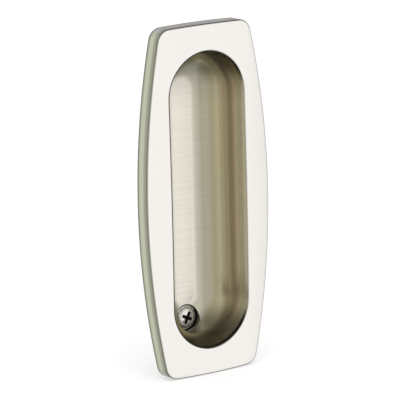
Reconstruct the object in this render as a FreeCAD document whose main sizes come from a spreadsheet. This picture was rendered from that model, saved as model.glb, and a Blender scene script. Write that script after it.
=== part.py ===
import FreeCAD, Part

import math
import os

import Sketcher

# Flush pull for a pocket door, in millimetres.
# +Z runs up the long axis, the face looks along -Y and +X is to the right.
# The origin is the middle of the pull on the door's surface, the plane y = 0.

SHEET = "Dimensions"

DIMENSIONS = {
    # Plate: barrel outline with bowed sides and nearly straight ends.
    "plate_height": 140.0,
    "plate_width": 58.0,
    "end_width": 42.0,
    "end_bow": 0.5,
    "corner_radius": 5.5,
    "plate_depth": 8.5,
    "cross_crown": 1.6,
    "long_crown": 1.0,
    "edge_round": 0.6,
    # Back of the casting: a seat round the edge and a relief inside it.
    "seat_width": 3.0,
    "relief_depth": 4.0,
    "relief_round": 1.2,
    # Cup: an obround hollow with a deep rounded floor.
    "cup_width": 35.2,
    "end_border": 10.9,
    "cup_depth": 19.5,
    "floor_radius": 14.0,
    "rim_round": 0.5,
    "cup_wall": 2.8,
    "back_radius": 12.0,
    # Screw: a raised countersunk head at the foot of the cup's floor.
    "screw_inset": 8.2,
    "seat_sink": 0.2,
    "seat_clearance": 0.8,
    "head_diameter": 8.8,
    "head_angle": 82.0,
    "head_crown": 1.3,
    "shank_diameter": 4.2,
    "hole_clearance": 0.2,
    "screw_length": 19.0,
    "point_length": 5.0,
    "tip_diameter": 0.4,
    # Cross recess in its head, turned from upright by an angle.
    "recess_turn": 65.0,
    "recess_span": 5.6,
    "recess_wing": 1.4,
    "recess_floor_span": 1.9,
    "recess_floor_wing": 0.85,
    "recess_depth": 2.3,
}

# Sizes that follow from the ones above.
CUP_LENGTH = "(plate_height - 2 * end_border)"
SCREW_DROP = "(plate_height / 2 - end_border - screw_inset)"
FLOOR = "(cup_depth - plate_depth)"
SEAT = "(cup_depth - plate_depth + seat_sink)"

# The crown is cut from a blank that stands this far proud of the finished face.
BLANK_STOCK = 1.0
# How near two heights or two directions have to be to count as the same.
SAME_HEIGHT = 1e-4
SAME_WAY = 1e-6

# The points of a sketched line or arc, and a sketch's own origin and axes.
START, END, CENTRE = range(1, 4)
VERTICAL_AXIS, HORIZONTAL_AXIS = range(-2, 0)
ROOT = HORIZONTAL_AXIS

ACROSS = FreeCAD.Vector(1, 0, 0)
INWARDS = FreeCAD.Vector(0, 1, 0)
UP = FreeCAD.Vector(0, 0, 1)


def make_sheet(doc):
    """Write every driving dimension into its own named cell."""
    sheet = doc.addObject("Spreadsheet::Sheet", SHEET)
    for row, (alias, value) in enumerate(DIMENSIONS.items(), start=1):
        sheet.set(f"A{row}", alias.replace("_", " "))
        sheet.set(f"B{row}", str(value))
        sheet.setAlias(f"B{row}", alias)
    doc.recompute()
    return sheet


def cell(sheet, alias):
    """Read one driving dimension."""
    return float(getattr(sheet, alias))


def tied(expression):
    """Put the sheet's name before each alias in an expression."""
    words = []
    word = ""
    for mark in expression + " ":
        if mark.isalnum() or mark == "_":
            word += mark
            continue
        words.append(f"{SHEET}.{word}" if word in DIMENSIONS else word)
        words.append(mark)
        word = ""
    return "".join(words).strip()


def origin_plane(body, role):
    """Find one of a body's own origin planes."""
    for feature in body.Origin.OriginFeatures:
        if feature.Role == role:
            return feature
    raise ValueError(role)


def new_sketch(body, name, role, offset=None):
    """Attach a sketch to an origin plane, moved along its normal by an expression."""
    sketch = body.newObject("Sketcher::SketchObject", name)
    sketch.AttachmentSupport = [(origin_plane(body, role), "")]
    sketch.MapMode = "FlatFace"
    if offset is not None:
        sketch.setExpression(".AttachmentOffset.Base.z", tied(offset))
    return sketch


def dimension(sketch, kind, refs, guess, expression):
    """Add one driving constraint and tie it to the sheet."""
    index = sketch.addConstraint(Sketcher.Constraint(kind, *refs, guess))
    sketch.setExpression(f"Constraints[{index}]", tied(expression))


def bowed_outline(sketch, sheet, inset):
    """Draw the barrel outline as four arcs, moved inwards by an inset expression."""
    half_width = cell(sheet, "plate_width") / 2
    half_height = cell(sheet, "plate_height") / 2
    half_end = cell(sheet, "end_width") / 2
    corner_height = half_height - cell(sheet, "end_bow")
    side_bow = half_width - half_end
    side_radius = (corner_height**2 + side_bow**2) / (2 * side_bow)
    end_bow = cell(sheet, "end_bow")
    end_radius = (half_end**2 + end_bow**2) / (2 * end_bow)
    side_half_angle = math.asin(corner_height / side_radius)
    end_half_angle = math.asin(half_end / end_radius)

    rise = "(plate_height / 2 - end_bow)"
    taper = "(plate_width - end_width)"
    side = f"(({rise}^2 + ({taper} / 2)^2) / {taper})"
    end = "(((end_width / 2)^2 + end_bow^2) / (2 * end_bow))"
    arcs = (
        (side_radius, side, 0.0, side_half_angle, (half_width - side_radius, 0.0)),
        (end_radius, end, 90.0, end_half_angle, (0.0, half_height - end_radius)),
        (side_radius, side, 180.0, side_half_angle, (side_radius - half_width, 0.0)),
        (end_radius, end, 270.0, end_half_angle, (0.0, end_radius - half_height)),
    )
    first = sketch.GeometryCount
    for radius, _, heading, half_angle, centre in arcs:
        circle = Part.Circle(FreeCAD.Vector(*centre, 0), UP, radius)
        middle = math.radians(heading)
        sketch.addGeometry(Part.ArcOfCircle(circle, middle - half_angle, middle + half_angle), False)
    for number in range(4):
        following = first + (number + 1) % 4
        sketch.addConstraint(Sketcher.Constraint("Coincident", first + number, END, following, START))
    for number, (radius, expression, _, _, centre) in enumerate(arcs):
        arc = first + number
        sideways = number % 2 == 0
        axis = HORIZONTAL_AXIS if sideways else VERTICAL_AXIS
        kind = "DistanceX" if sideways else "DistanceY"
        across = "plate_width / 2" if sideways else "plate_height / 2"
        ends = (arc, CENTRE, ROOT, START) if number < 2 else (ROOT, START, arc, CENTRE)
        sketch.addConstraint(Sketcher.Constraint("PointOnObject", arc, CENTRE, axis))
        dimension(sketch, kind, ends, math.hypot(*centre), f"{expression} - {across}")
        dimension(sketch, "Radius", (arc,), radius, f"{expression} - {inset}")


def obround(sketch, sheet, margin):
    """Draw the cup's obround, grown on all sides by a margin expression."""
    radius = cell(sheet, "cup_width") / 2
    reach = cell(sheet, "plate_height") / 2 - cell(sheet, "end_border") - radius
    first = sketch.GeometryCount
    top = Part.Circle(FreeCAD.Vector(0, reach, 0), UP, radius)
    bottom = Part.Circle(FreeCAD.Vector(0, -reach, 0), UP, radius)
    sketch.addGeometry(Part.ArcOfCircle(top, 0, math.pi), False)
    left = Part.LineSegment(FreeCAD.Vector(-radius, reach, 0), FreeCAD.Vector(-radius, -reach, 0))
    sketch.addGeometry(left, False)
    sketch.addGeometry(Part.ArcOfCircle(bottom, math.pi, 2 * math.pi), False)
    right = Part.LineSegment(FreeCAD.Vector(radius, -reach, 0), FreeCAD.Vector(radius, reach, 0))
    sketch.addGeometry(right, False)
    for number in range(4):
        following = first + (number + 1) % 4
        sketch.addConstraint(Sketcher.Constraint("Tangent", first + number, END, following, START))
    for arc in (first, first + 2):
        sketch.addConstraint(Sketcher.Constraint("PointOnObject", arc, CENTRE, VERTICAL_AXIS))
    sketch.addConstraint(Sketcher.Constraint("Equal", first, first + 2))
    half_run = f"({CUP_LENGTH} - cup_width) / 2"
    dimension(sketch, "DistanceY", (ROOT, START, first, CENTRE), reach, half_run)
    dimension(sketch, "DistanceY", (first + 2, CENTRE, ROOT, START), reach, half_run)
    dimension(sketch, "Radius", (first,), radius, f"cup_width / 2 + {margin}")


def closed_lines(sketch, corners, expressions):
    """Draw a closed run of straight lines whose corners are tied to the sheet."""
    first = sketch.GeometryCount
    count = len(corners)
    for number, corner in enumerate(corners):
        following = corners[(number + 1) % count]
        line = Part.LineSegment(FreeCAD.Vector(*corner, 0), FreeCAD.Vector(*following, 0))
        sketch.addGeometry(line, False)
    for number in range(count):
        following = first + (number + 1) % count
        sketch.addConstraint(Sketcher.Constraint("Coincident", first + number, END, following, START))
    for number, expression in enumerate(expressions):
        pin_point(sketch, first + number, START, corners[number], expression)


def pin_point(sketch, geometry, point, guess, expressions):
    """Fix a point by its distances from the sketch's origin, with no distance negative."""
    for kind, value, expression, axis in zip(
        ("DistanceX", "DistanceY"), guess, expressions, (VERTICAL_AXIS, HORIZONTAL_AXIS)
    ):
        if expression == "0":
            sketch.addConstraint(Sketcher.Constraint("PointOnObject", geometry, point, axis))
        elif expression.startswith("-"):
            refs = (geometry, point, ROOT, START)
            dimension(sketch, kind, refs, abs(value), expression[1:])
        else:
            dimension(sketch, kind, (ROOT, START, geometry, point), abs(value), expression)


def feature(body, kind, name, **settings):
    """Add a feature to a body; text that starts with an equals sign is an expression."""
    made = body.newObject(f"PartDesign::{kind}", name)
    for key, value in settings.items():
        if isinstance(value, str) and value.startswith("="):
            made.setExpression(key, tied(value[1:]))
        else:
            setattr(made, key, value)
    return made


def edges_where(solid, test):
    """Name the edges of a shape that pass a test."""
    return [f"Edge{number}" for number, edge in enumerate(solid.Edges, start=1) if test(edge)]


def lies_along(edge, axis):
    """Tell whether an edge is straight and parallel to an axis."""
    return isinstance(edge.Curve, Part.Line) and edge.Curve.Direction.cross(axis).Length < SAME_WAY


def at_height(edge, y):
    """Tell whether an edge's middle lies at one distance from the door's surface."""
    return abs(edge.CenterOfMass.y - y) < SAME_HEIGHT


def make_plate(doc, sheet):
    """The one-piece casting: crowned plate, deep cup, relieved back and screw seat."""
    body = doc.addObject("PartDesign::Body", "PullPlate")
    body.Label = "pull_plate"
    blank(doc, body, sheet)
    crown(doc, body, sheet)
    relief(doc, body, sheet)
    cup_shell(doc, body, sheet)
    cup_hollow(doc, body, sheet)
    screw_seat(doc, body, sheet)
    return body


def blank(doc, body, sheet):
    """Raise the barrel outline off the door and round its four corners."""
    outline = new_sketch(body, "PlateOutline", "XZ_Plane")
    bowed_outline(outline, sheet, "0")
    pad = feature(body, "Pad", "Blank", Profile=outline, Length=f"=plate_depth + {BLANK_STOCK}")
    doc.recompute()
    corners = edges_where(pad.Shape, lambda edge: lies_along(edge, INWARDS))
    feature(body, "Fillet", "Corners", Base=(pad, corners), Radius="=corner_radius")
    doc.recompute()


def crown(doc, body, sheet):
    """Turn the face to a shallow double curve, then round its outer edge."""
    half_width = cell(sheet, "plate_width") / 2
    depth = cell(sheet, "plate_depth")
    drop = cell(sheet, "cross_crown")
    cross_radius = (half_width**2 + drop**2) / (2 * drop)
    half_height = cell(sheet, "plate_height") / 2
    fall = cell(sheet, "long_crown")
    long_radius = (half_height**2 + fall**2) / (2 * fall)
    cross = "(((plate_width / 2)^2 + cross_crown^2) / (2 * cross_crown))"
    along = "(((plate_height / 2)^2 + long_crown^2) / (2 * long_crown))"
    reach = half_width + BLANK_STOCK
    front = depth + 2 * BLANK_STOCK

    cutter = new_sketch(body, "CrownSection", "XY_Plane")
    circle = Part.Circle(FreeCAD.Vector(0, cross_radius - depth, 0), UP, cross_radius)
    half_angle = math.asin(reach / cross_radius)
    facing = -math.pi / 2
    cutter.addGeometry(Part.ArcOfCircle(circle, facing - half_angle, facing + half_angle), False)
    edge_y = cross_radius - depth - cross_radius * math.cos(half_angle)
    corners = ((reach, edge_y), (reach, -front), (-reach, -front), (-reach, edge_y))
    for here, there in zip(corners, corners[1:]):
        line = Part.LineSegment(FreeCAD.Vector(*here, 0), FreeCAD.Vector(*there, 0))
        cutter.addGeometry(line, False)
    for number in range(4):
        cutter.addConstraint(Sketcher.Constraint("Coincident", number, END, (number + 1) % 4, START))
    cutter.addConstraint(Sketcher.Constraint("PointOnObject", 0, CENTRE, VERTICAL_AXIS))
    cutter.addConstraint(Sketcher.Constraint("Vertical", 1))
    cutter.addConstraint(Sketcher.Constraint("Vertical", 3))
    cutter.addConstraint(Sketcher.Constraint("Horizontal", 2))
    dimension(cutter, "Radius", (0,), cross_radius, cross)
    dimension(cutter, "DistanceY", (ROOT, START, 0, CENTRE), cross_radius - depth, f"{cross} - plate_depth")
    side = f"(plate_width / 2 + {BLANK_STOCK})"
    dimension(cutter, "DistanceX", (ROOT, START, 1, START), reach, side)
    dimension(cutter, "DistanceX", (3, START, ROOT, START), reach, side)
    dimension(cutter, "DistanceY", (2, START, ROOT, START), front, f"plate_depth + {2 * BLANK_STOCK}")
    axis_y = long_radius - depth
    axis = Part.LineSegment(FreeCAD.Vector(-reach, axis_y, 0), FreeCAD.Vector(reach, axis_y, 0))
    cutter.addGeometry(axis, True)
    cutter.addConstraint(Sketcher.Constraint("Horizontal", 4))
    pin_point(cutter, 4, START, (-reach, axis_y), (f"-{side}", f"{along} - plate_depth"))
    dimension(cutter, "DistanceX", (ROOT, START, 4, END), reach, side)
    sweep = f"=2 * asin((plate_height / 2 + {BLANK_STOCK}) / {along})"
    groove = feature(
        body, "Groove", "Crown", Profile=cutter, ReferenceAxis=(cutter, ["Axis0"]),
        Angle=sweep, Midplane=True,
    )
    doc.recompute()
    face = max(groove.Shape.Faces, key=lambda face: -face.CenterOfMass.y)
    rim = [edge.hashCode() for edge in face.Edges]
    names = edges_where(groove.Shape, lambda edge: edge.hashCode() in rim)
    feature(body, "Fillet", "FaceEdge", Base=(groove, names), Radius="=edge_round")
    doc.recompute()


def relief(doc, body, sheet):
    """Hollow the back of the plate, leaving a flat seat round its edge."""
    inside = new_sketch(body, "ReliefOutline", "XZ_Plane")
    bowed_outline(inside, sheet, "seat_width")
    pocket = feature(body, "Pocket", "Relief", Profile=inside, Length="=relief_depth", Reversed=True)
    doc.recompute()
    depth = cell(sheet, "relief_depth")
    middle = -depth / 2
    upright = edges_where(pocket.Shape, lambda edge: lies_along(edge, INWARDS) and at_height(edge, middle))
    corners = feature(
        body, "Fillet", "ReliefCorners", Base=(pocket, upright), Radius="=corner_radius - seat_width",
    )
    doc.recompute()
    inner = edges_where(corners.Shape, lambda edge: at_height(edge, -depth))
    feature(body, "Fillet", "ReliefFloor", Base=(corners, inner), Radius="=relief_round")
    doc.recompute()


def cup_shell(doc, body, sheet):
    """Add the outside of the cup behind the plate, still square at the back."""
    outline = new_sketch(body, "CupShell", "XZ_Plane", "relief_depth + relief_round")
    obround(outline, sheet, "cup_wall")
    length = f"{FLOOR} + cup_wall + relief_depth + relief_round"
    feature(body, "Pad", "Shell", Profile=outline, Length="=" + length, Reversed=True)
    doc.recompute()


def cup_hollow(doc, body, sheet):
    """Sink the obround cup from the face, then round its floor and the shell's back."""
    opening = new_sketch(body, "CupOpening", "XZ_Plane", f"plate_depth + {BLANK_STOCK}")
    obround(opening, sheet, "0")
    length = f"=cup_depth + {BLANK_STOCK}"
    pocket = feature(body, "Pocket", "Cup", Profile=opening, Length=length)
    doc.recompute()
    floor = cell(sheet, "cup_depth") - cell(sheet, "plate_depth")
    loop = edges_where(pocket.Shape, lambda edge: at_height(edge, floor))
    feature(body, "Fillet", "CupFloor", Base=(pocket, loop), Radius="=floor_radius")
    doc.recompute()
    back = floor + cell(sheet, "cup_wall")
    rim = edges_where(body.Shape, lambda edge: at_height(edge, back))
    feature(body, "Fillet", "ShellBack", Base=(body.Tip, rim), Radius="=back_radius")
    doc.recompute()
    round_rim(doc, body)


def round_rim(doc, body):
    """Ease the edge where the cup meets the crowned face."""
    solid = body.Shape
    face = min(solid.Faces, key=lambda face: face.CenterOfMass.y)
    inner = min(face.Wires, key=lambda wire: wire.BoundBox.DiagonalLength)
    rim = [edge.hashCode() for edge in inner.Edges]
    names = edges_where(solid, lambda edge: edge.hashCode() in rim)
    feature(body, "Fillet", "CupRim", Base=(body.Tip, names), Radius="=rim_round")
    doc.recompute()


def screw_seat(doc, body, sheet):
    """Spot-face, countersink and drill the foot of the cup's floor for the screw."""
    ring = new_sketch(body, "SpotFace", "XZ_Plane")
    screw_circle(ring, sheet, "head_diameter / 2 + seat_clearance")
    feature(body, "Pocket", "SeatFloor", Profile=ring, Length="=" + SEAT)
    doc.recompute()
    mark = new_sketch(body, "HoleCentre", "XZ_Plane", "-" + SEAT)
    screw_circle(mark, sheet, "shank_diameter / 2 + hole_clearance")
    doc.recompute()
    hole = body.newObject("PartDesign::Hole", "ScrewHole")
    hole.Profile = mark
    doc.recompute()
    hole.ThreadType = "None"
    hole.setExpression("Diameter", tied("shank_diameter + 2 * hole_clearance"))
    hole.DepthType = "ThroughAll"
    hole.HoleCutType = "Countersink"
    hole.HoleCutCustomValues = True
    hole.setExpression("HoleCutDiameter", tied("head_diameter"))
    hole.setExpression("HoleCutCountersinkAngle", tied("head_angle"))
    doc.recompute()


def screw_circle(sketch, sheet, radius):
    """Draw a circle round the screw's axis, below the middle on the pull's long axis."""
    guess = cell(sheet, "head_diameter") / 2
    drop = cell(sheet, "plate_height") / 2 - cell(sheet, "end_border") - cell(sheet, "screw_inset")
    sketch.addGeometry(Part.Circle(FreeCAD.Vector(0, -drop, 0), UP, guess), False)
    pin_point(sketch, 0, CENTRE, (0, -drop), ("0", "-" + SCREW_DROP))
    dimension(sketch, "Radius", (0,), guess, radius)


def make_screw(doc, sheet):
    """The raised countersunk screw, turned about its axis, with a cross recess."""
    body = doc.addObject("PartDesign::Body", "FixingScrew")
    body.Label = "fixing_screw"
    turned_screw(doc, body, sheet)
    cross_recess(doc, body, sheet)
    facing_out = FreeCAD.Rotation(ACROSS, 90)
    turned = FreeCAD.Rotation(UP, cell(sheet, "recess_turn"))
    body.Placement = FreeCAD.Placement(FreeCAD.Vector(0, 0, 0), facing_out * turned)
    body.setExpression(".Placement.Base.y", tied(SEAT))
    body.setExpression(".Placement.Base.z", tied("-" + SCREW_DROP))
    doc.recompute()
    return body


def turned_screw(doc, body, sheet):
    """Revolve the screw's half section: domed head, cone, shank and point."""
    head = cell(sheet, "head_diameter") / 2
    shank = cell(sheet, "shank_diameter") / 2
    rise = cell(sheet, "head_crown")
    cone = (head - shank) / math.tan(math.radians(cell(sheet, "head_angle") / 2))
    length = cell(sheet, "screw_length")
    point = cell(sheet, "point_length")
    tip = cell(sheet, "tip_diameter") / 2
    cone_depth = "((head_diameter - shank_diameter) / 2 / tan(head_angle * 1deg / 2))"
    corners = (
        ((0, rise), ("0", "head_crown")),
        ((0, -length), ("0", "-screw_length")),
        ((tip, -length), ("tip_diameter / 2", "-screw_length")),
        ((shank, point - length), ("shank_diameter / 2", "-(screw_length - point_length)")),
        ((shank, -cone), ("shank_diameter / 2", f"-{cone_depth}")),
        ((head, 0), ("head_diameter / 2", "0")),
    )
    section = new_sketch(body, "HalfSection", "XZ_Plane")
    for (here, _), (there, _) in zip(corners, corners[1:]):
        line = Part.LineSegment(FreeCAD.Vector(*here, 0), FreeCAD.Vector(*there, 0))
        section.addGeometry(line, False)
    dome_radius = (head**2 + rise**2) / (2 * rise)
    low = FreeCAD.Vector(head, 0, 0)
    high = FreeCAD.Vector(0, rise, 0)
    half = math.asin(head / dome_radius) / 2
    centre_y = rise - dome_radius
    middle = FreeCAD.Vector(dome_radius * math.sin(half), centre_y + dome_radius * math.cos(half), 0)
    section.addGeometry(Part.Arc(low, middle, high), False)
    for number in range(4):
        section.addConstraint(Sketcher.Constraint("Coincident", number, END, number + 1, START))
    for number, (guess, expressions) in enumerate(corners[:-1]):
        pin_point(section, number, START, guess, expressions)
    pin_point(section, 4, END, *corners[-1])
    section.addConstraint(Sketcher.Constraint("Coincident", 4, END, 5, START))
    section.addConstraint(Sketcher.Constraint("Coincident", 5, END, 0, START))
    section.addConstraint(Sketcher.Constraint("PointOnObject", 5, CENTRE, VERTICAL_AXIS))
    feature(body, "Revolution", "Turned", Profile=section, ReferenceAxis=(section, ["V_Axis"]), Angle=360)
    doc.recompute()


def cross_recess(doc, body, sheet):
    """Cut the tapered cross recess down from the top of the dome."""
    mouth = new_sketch(body, "RecessMouth", "XY_Plane", "head_crown")
    cross_outline(mouth, sheet, "recess_span", "recess_wing")
    floor = new_sketch(body, "RecessFloor", "XY_Plane", "head_crown - recess_depth")
    cross_outline(floor, sheet, "recess_floor_span", "recess_floor_wing")
    doc.recompute()
    feature(body, "SubtractiveLoft", "Recess", Profile=mouth, Sections=[floor], Ruled=True)
    doc.recompute()


def cross_outline(sketch, sheet, span, wing):
    """Draw a cross with four equal wings."""
    far = cell(sheet, span) / 2
    near = cell(sheet, wing) / 2
    outer = f"{span} / 2"
    inner = f"{wing} / 2"
    quarter = ((far, near, outer, inner), (near, near, inner, inner), (near, far, inner, outer))
    turns = ((1, 1), (-1, 1), (-1, -1), (1, -1))
    corners = []
    expressions = []
    for number, (x_sign, y_sign) in enumerate(turns):
        run = quarter if number % 2 == 0 else quarter[::-1]
        for x, y, x_size, y_size in run:
            corners.append((x_sign * x, y_sign * y))
            expressions.append(("-" * (x_sign < 0) + x_size, "-" * (y_sign < 0) + y_size))
    closed_lines(sketch, corners, expressions)


def check(doc, bodies):
    """Stop before anything is written if a feature or a solid has failed."""
    for item in doc.Objects:
        if "Invalid" in item.State or "Error" in item.State:
            raise RuntimeError(f"{item.Name}: {item.State}")
    for body in bodies:
        if body.Shape.isNull() or not body.Shape.isValid():
            raise RuntimeError(f"{body.Label}: its solid is not valid")


def main():
    """Build both bodies from the sheet and write one STEP file for each."""
    doc = FreeCAD.newDocument("PocketDoorPull")
    sheet = make_sheet(doc)
    bodies = [make_plate(doc, sheet), make_screw(doc, sheet)]
    doc.recompute()
    check(doc, bodies)
    os.makedirs("parts", exist_ok=True)
    for body in bodies:
        body.Shape.exportStep(f"parts/{body.Label}.step")
        print(f"{body.Label}: {len(body.Shape.Solids)} solid, {body.Shape.Volume:.0f} mm3")


main()
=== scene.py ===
import math

import bmesh
import bpy
from bpy.props import FloatProperty, FloatVectorProperty, IntProperty, PointerProperty
from mathutils import Matrix, Vector


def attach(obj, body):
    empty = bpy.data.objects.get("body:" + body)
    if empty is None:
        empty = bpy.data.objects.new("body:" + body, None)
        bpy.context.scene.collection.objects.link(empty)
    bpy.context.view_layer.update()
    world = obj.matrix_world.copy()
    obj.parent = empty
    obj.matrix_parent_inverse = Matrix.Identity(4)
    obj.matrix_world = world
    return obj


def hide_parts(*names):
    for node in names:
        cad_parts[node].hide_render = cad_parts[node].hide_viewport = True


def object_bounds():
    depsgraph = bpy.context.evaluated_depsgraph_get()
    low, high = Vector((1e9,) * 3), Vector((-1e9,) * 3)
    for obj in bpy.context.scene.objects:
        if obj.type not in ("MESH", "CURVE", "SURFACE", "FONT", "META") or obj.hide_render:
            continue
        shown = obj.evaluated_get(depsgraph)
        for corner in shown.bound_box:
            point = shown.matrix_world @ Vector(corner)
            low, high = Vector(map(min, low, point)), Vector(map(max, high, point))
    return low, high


bl_info = {
    "name": "Pocket Door Pull",
    "version": (1, 0, 0),
    "blender": (4, 5, 0),
    "location": "3D View > Sidebar > Door Pull",
    "description": "Builds a flush pull for a pocket door, its screw and a small studio",
    "category": "Add Mesh",
}

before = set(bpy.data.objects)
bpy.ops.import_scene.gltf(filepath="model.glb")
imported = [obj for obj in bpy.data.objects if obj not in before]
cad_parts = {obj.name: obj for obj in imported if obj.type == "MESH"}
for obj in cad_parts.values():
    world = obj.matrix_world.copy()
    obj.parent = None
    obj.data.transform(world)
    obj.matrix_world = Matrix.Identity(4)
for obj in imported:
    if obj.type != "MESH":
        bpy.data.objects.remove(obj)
CAD_BOX = [list(corner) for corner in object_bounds()]

# Vertices nearer to each other than this are one.
MERGE = 1e-7

# Which of the casting's long edges a mark stands for. An edge of mark 0 is none of them.
BACK_EDGE, FACE_EDGE, CUP_RIM, RELIEF_FLOOR = range(1, 5)


# The kinds of setting.


def metres(name, description, default):
    """A length in metres."""
    return FloatProperty(name=name, description=description, default=default, unit="LENGTH")


def degrees(name, description, default):
    """An angle, given in degrees."""
    return FloatProperty(
        name=name, description=description, default=math.radians(default), subtype="ANGLE"
    )


def fraction(name, description, default):
    """A share, from 0 to 1."""
    return FloatProperty(
        name=name, description=description, default=default, min=0, max=1, subtype="FACTOR"
    )


def paint(name, description, default):
    """A colour, as linear red, green and blue."""
    return FloatVectorProperty(
        name=name, description=description, default=default, size=3, min=0, max=1, subtype="COLOR"
    )


def count(name, description, default, least):
    """A number of faces, with the least that the shape can do with."""
    return IntProperty(name=name, description=description, default=default, min=least)


class CastingSettings(bpy.types.PropertyGroup):
    height: metres("Plate height", "Length of the plate along the door", 0.140)
    width: metres("Plate width", "Width of the plate at its middle", 0.058)
    end_width: metres(
        "End width", "Width of the plate at its two ends, before the corners are rounded", 0.042
    )
    end_bow: metres(
        "End bow", "How far the middle of each end stands proud of its corners", 0.0005
    )
    corner_radius: metres("Corner radius", "Radius of the plate's four corners", 0.0055)
    depth: metres("Plate depth", "From the door to the highest point of the face", 0.0085)
    cross_crown: metres(
        "Cross crown", "How far the face falls from its middle to its sides", 0.0016
    )
    long_crown: metres("Long crown", "How far the face falls from its middle to its ends", 0.0010)
    edge_round: metres("Face edge", "Radius between the face and the sides", 0.0006)
    back_break: metres("Back edge", "Width of the small break along the back edge", 0.00025)
    seat_width: metres("Seat width", "Width of the flat seat round the back", 0.003)
    relief_depth: metres("Relief depth", "Depth of the hollow in the plate's back", 0.004)
    relief_round: metres("Relief radius", "Radius along the relief's floor", 0.0012)
    cup_width: metres("Cup width", "Width of the cup's opening", 0.0352)
    end_border: metres("End border", "From the plate's end to the cup's end", 0.0109)
    cup_depth: metres("Cup depth", "From the highest point of the face to the cup's floor", 0.0195)
    floor_radius: metres("Floor radius", "Radius between the cup's wall and floor", 0.014)
    rim_round: metres("Rim radius", "Radius between the face and the cup's wall", 0.0005)
    cup_wall: metres("Cup wall", "Thickness of the cup's wall and floor", 0.0028)
    back_radius: metres("Shell radius", "Radius round the back of the cup", 0.012)
    side_steps: count("Side steps", "Faces along half of a bowed side", 64, 8)
    corner_steps: count("Corner steps", "Faces round a corner", 10, 3)
    end_steps: count("End steps", "Faces along half of an end", 16, 4)
    fillet_steps: count("Floor steps", "Faces down the rounded floor of the cup", 32, 6)


class ScrewSettings(bpy.types.PropertyGroup):
    inset: metres("Inset", "From the cup's lower end to the screw's axis", 0.0082)
    seat_sink: metres("Seat depth", "How far the screw's seat lies below the cup's floor", 0.0002)
    seat_clearance: metres("Seat clearance", "Width of the flat ring round the head", 0.0008)
    head: metres("Head diameter", "Diameter of the oval head", 0.0088)
    head_angle: degrees("Head angle", "Angle of the countersunk cone", 82)
    crown: metres("Head crown", "Height of the domed top over the seat", 0.0013)
    flatness: FloatProperty(
        name="Head flatness",
        description="Power by which the dome falls away: 2 is round, and more is flatter on top",
        default=5.0, min=2, max=8,
    )
    shank: metres(
        "Shank diameter", "Diameter of the plain shank and of the thread's crest", 0.0042
    )
    core: metres("Core diameter", "Diameter at the root of the thread", 0.0029)
    clearance: metres("Hole clearance", "Gap round the shank in its hole", 0.0002)
    length: metres("Length", "From the seat to the screw's point", 0.019)
    plain: metres("Plain shank", "From the seat to the first turn of the thread", 0.0062)
    point: metres("Point length", "Length of the tapered point", 0.005)
    pitch: metres("Thread pitch", "Distance between two turns of the thread", 0.0017)
    recess_span: metres("Recess span", "Span of the cross recess at the dome", 0.0056)
    recess_wing: metres("Recess wing", "Width of a wing of the recess at the dome", 0.0014)
    recess_depth: metres("Recess depth", "Depth of the recess below the top of the dome", 0.0023)
    turn: degrees("Turn", "How far the recess is turned from upright", 65)


class FinishSettings(bpy.types.PropertyGroup):
    nickel: paint("Nickel", "Colour of the satin nickel plate", (0.93, 0.90, 0.86))
    cup_nickel: paint(
        "Nickel in the cup", "Colour of the plate on the cup's floor", (0.90, 0.84, 0.75)
    )
    # The next four colours are painted reflection bands down the cup's wall and curve.
    curve_reflection: paint(
        "Nickel on the curve",
        "Colour of the plate where the cup's floor curves up",
        (0.77, 0.735, 0.595),
    )
    olive_reflection: paint(
        "Nickel up the curve",
        "Colour of the plate between the floor's curve and the wall",
        (0.78, 0.715, 0.50),
    )
    wall_reflection: paint(
        "Nickel on the wall", "Colour of the plate half way up the cup's wall", (0.57, 0.505, 0.40)
    )
    lip_reflection: paint(
        "Nickel on the lip", "Colour of the plate at the top of the cup's wall", (0.80, 0.79, 0.68)
    )
    face_roughness: fraction("Face roughness", "Roughness of the face and sides", 0.14)
    cup_roughness: fraction("Cup roughness", "Roughness down in the cup", 0.24)
    # Painted shade at the cup's two ends.
    end_shade: fraction("End tone", "Brightness left in the plating at the cup's two ends", 0.48)
    # Painted shade in dark lines along the plate's edges.
    edge_shade: fraction(
        "Edge tone",
        "Brightness left in the plating along the plate's edges and the cup's rim",
        0.62,
    )
    brushing: fraction(
        "Brushing", "How much further the brushed plate blurs along the pull than across it", 0.6
    )
    # Painted shade in the gap round the screw's head.
    seat_shade: fraction("Seat tone", "Brightness left in the gap round the screw's head", 0.04)
    screw_nickel: paint("Screw nickel", "Colour of the bright screw", (0.93, 0.91, 0.87))
    # Painted shade down in the screw's cross recess.
    recess_shade: paint(
        "Recess", "Colour of the unpolished metal down in the screw's recess", (0.035, 0.03, 0.025)
    )


class StudioSettings(bpy.types.PropertyGroup):
    azimuth: degrees("Azimuth", "The camera's turn round the pull, towards its left side", 34.7)
    elevation: degrees("Elevation", "The camera's angle above the horizon", 12.6)
    roll: degrees("Roll", "How far the picture leans to the left", 1.39)
    distance: metres("Distance", "From the camera to the pull", 1.25)
    scale: FloatProperty(
        name="Scale", description="Width of the picture over the width that it shows at the pull",
        default=2544.0,
    )
    white: paint("White", "Colour of the floor and the background", (1, 1, 1))
    warm: paint("Warm board", "Colour of the board ahead of the pull", (0.60, 0.585, 0.53))
    brown: paint("Brown board", "Colour of the board at the left", (0.52, 0.48, 0.31))
    green: paint(
        "Green board", "Colour of the board behind the pull's left side", (0.57, 0.615, 0.495)
    )
    dark: paint("Dark gaps", "Colour between the boards", (0.16, 0.155, 0.135))


# Shared steps of the modelling.


def new_layers(bm):
    """Layers for each vertex's place and heading on the outline, and for each edge's mark."""
    return (
        bm.verts.layers.float_vector.new("place"),
        bm.verts.layers.float_vector.new("heading"),
        bm.edges.layers.int.new("mark"),
    )


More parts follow.
